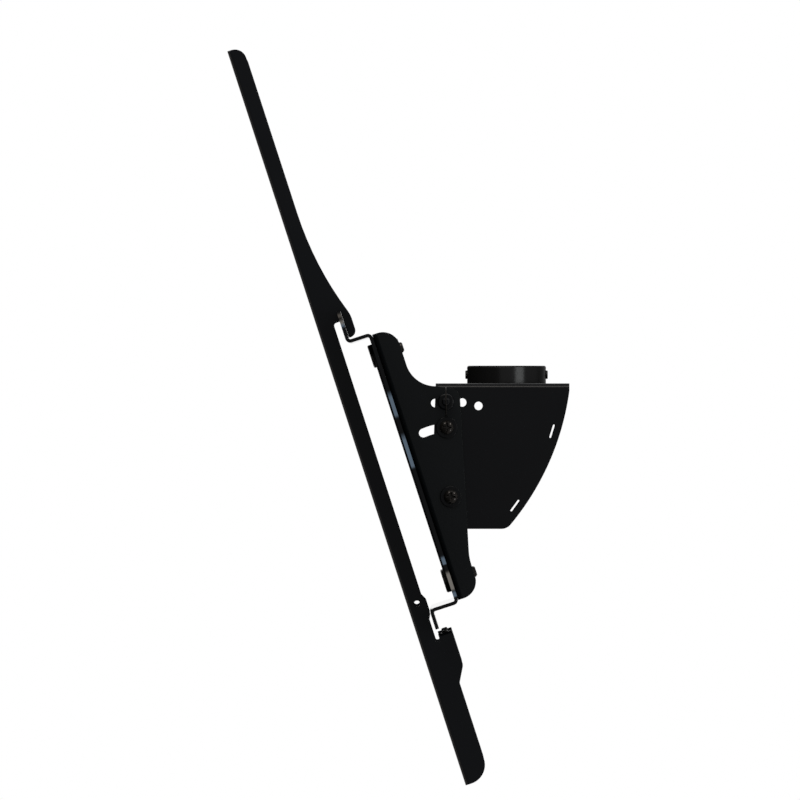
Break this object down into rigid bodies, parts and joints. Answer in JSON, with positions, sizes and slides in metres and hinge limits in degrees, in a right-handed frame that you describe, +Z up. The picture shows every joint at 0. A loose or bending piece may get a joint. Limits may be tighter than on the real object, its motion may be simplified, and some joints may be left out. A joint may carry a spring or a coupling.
{
  "type": "truss tv mount",
  "caption": "Tilting screen mount that hangs from a pole collar: a folded bracket, a tilt head with lock slot and index pin, a flanged plate and hooked arms.",
  "frame": {"origin": "on the pole collar's axis, at the upper face of the base bracket's top plate", "axes": "+Z up the pole, -Y towards the screen, X along the screen"},
  "size_m": [0.6, 0.2892, 0.6204],
  "materials": {
    "black_coat": "satin black powder coat on folded steel",
    "gloss_black": "smooth glossy black coat on steel",
    "black_zinc": "black zinc plate",
    "dark_wire": "blackened spring wire"
  },
  "bodies": {
    "base": {"base_bracket": "black_coat", "pole_collar": "gloss_black", "collar_set_screw_front": "black_zinc", "collar_set_screw_rear": "black_zinc", "pivot_screw_right": "black_zinc", "pivot_washer_right": "black_coat", "pivot_nut_right": "black_zinc", "pivot_screw_left": "black_zinc", "pivot_washer_left": "black_coat", "pivot_nut_left": "black_zinc", "lock_screw_right": "black_zinc", "lock_washer_right": "black_coat", "lock_nut_right": "black_zinc", "lock_screw_left": "black_zinc", "lock_washer_left": "black_coat", "lock_nut_left": "black_zinc"},
    "tilt": {"tilt_head": "black_coat", "interface_plate": "gloss_black", "bolt_strips": "black_coat", "plate_bolts": "black_zinc", "plate_washers": "black_zinc", "plate_nuts": "black_zinc", "plate_lock_nuts": "black_zinc"},
    "index_pin": {"index_pin": "black_zinc"},
    "index_ring": {"index_ring": "dark_wire"},
    "arm_right": {"arm_right": "black_coat", "arm_lock_nut_right": "black_zinc"},
    "arm_latch_right": {"arm_lock_screw_right": "black_zinc"},
    "arm_left": {"arm_left": "black_coat", "arm_lock_nut_left": "black_zinc"},
    "arm_latch_left": {"arm_lock_screw_left": "black_zinc"}
  },
  "joints": [
    {"name": "tilt", "type": "hinge", "parent": "base", "child": "tilt", "pos_m": [0, -0.0473, -0.096], "axis": [1, 0, 0], "range_deg": [-20, 0]},
    {"name": "index_pin_slide", "type": "slide", "parent": "tilt", "child": "index_pin", "axis": [1, 0, 0], "range_m": [-0.0062, 0.02]},
    {"name": "index_ring_swing", "type": "hinge", "parent": "index_pin", "child": "index_ring", "pos_m": [0.0821, -0.05151, -0.01571], "axis": [0, 0, 1], "range_deg": [-80, 80]},
    {"name": "arm_slide_right", "type": "slide", "parent": "tilt", "child": "arm_right", "axis": [1, 0, 0], "range_m": [-0.15, 0.075]},
    {"name": "arm_slide_left", "type": "slide", "parent": "tilt", "child": "arm_left", "axis": [-1, 0, 0], "range_m": [-0.15, 0.075]},
    {"name": "arm_latch_screw_right", "type": "slide", "parent": "arm_right", "child": "arm_latch_right", "axis": [0, -0.309, 0.9511], "range_m": [0, 0.0175]},
    {"name": "arm_latch_screw_left", "type": "slide", "parent": "arm_left", "child": "arm_latch_left", "axis": [0, -0.309, 0.9511], "range_m": [0, 0.0175]}
  ]
}
